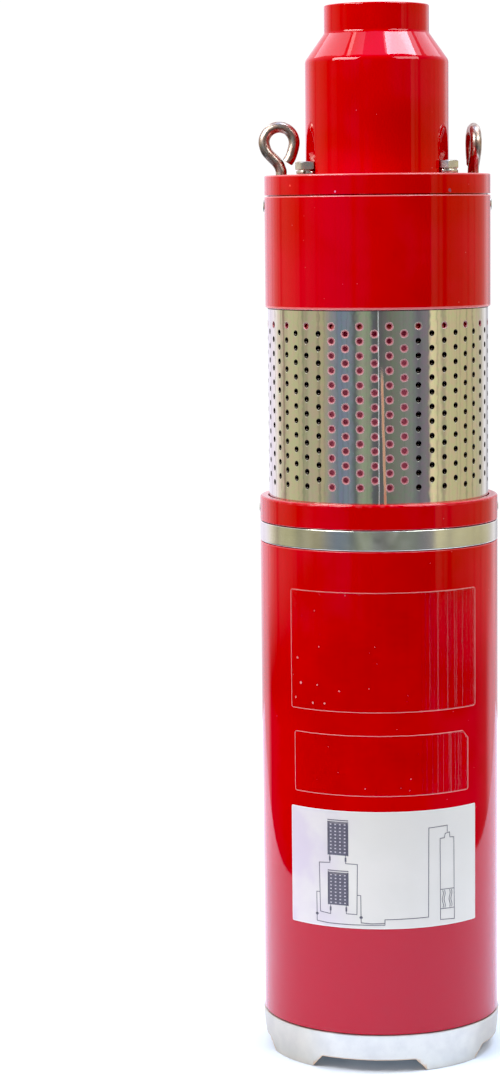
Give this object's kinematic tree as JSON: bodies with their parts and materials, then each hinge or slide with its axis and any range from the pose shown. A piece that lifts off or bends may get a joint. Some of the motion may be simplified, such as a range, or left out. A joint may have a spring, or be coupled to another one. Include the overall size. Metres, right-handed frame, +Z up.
{
  "type": "submersible screw pump",
  "caption": "Slim upright well pump: painted cylindrical motor on a notched metal foot, perforated inlet strainer, upper housing and a stepped head with a threaded outlet and lifting eyes.",
  "frame": {"origin": "centre of the circle that the four feet stand on, at floor height", "axes": "+Z up along the pump's axis towards the outlet; -Y is the front with the labels; +X is the side of the right-hand lifting eye"},
  "size_m": [0.0988, 0.0988, 0.4304],
  "materials": {
    "red_paint": "glossy enamel",
    "inner_red_paint": "painted",
    "strainer_steel": "polished stainless sheet",
    "cover_metal": "finely turned",
    "foot_aluminium": "machined casting",
    "bolt_zinc": "zinc plated",
    "eye_steel": "bright drawn bar, slightly tarnished",
    "gland_metal": "nickel plated",
    "gland_rubber": "matt"
  },
  "bodies": {
    "root": {"base_foot": "foot_aluminium", "motor_body": "red_paint", "motor_end_cover": "cover_metal", "lower_collar": "red_paint", "collar_lock_screw_right": "bolt_zinc", "collar_lock_screw_left": "bolt_zinc", "strainer": "strainer_steel", "inner_tube": "inner_red_paint", "upper_housing": "red_paint", "housing_lock_screw_right": "bolt_zinc", "housing_lock_screw_left": "bolt_zinc", "discharge_head": "red_paint", "head_bolt_1": "bolt_zinc", "head_bolt_2": "bolt_zinc", "head_bolt_3": "bolt_zinc", "head_bolt_4": "bolt_zinc", "spring_washer_1": "bolt_zinc", "spring_washer_2": "bolt_zinc", "spring_washer_3": "bolt_zinc", "spring_washer_4": "bolt_zinc", "eye_bolt_left": "eye_steel", "eye_bolt_right": "eye_steel", "gland_body": "gland_metal", "gland_nut": "gland_metal", "gland_seal": "gland_rubber"}
  },
  "joints": []
}
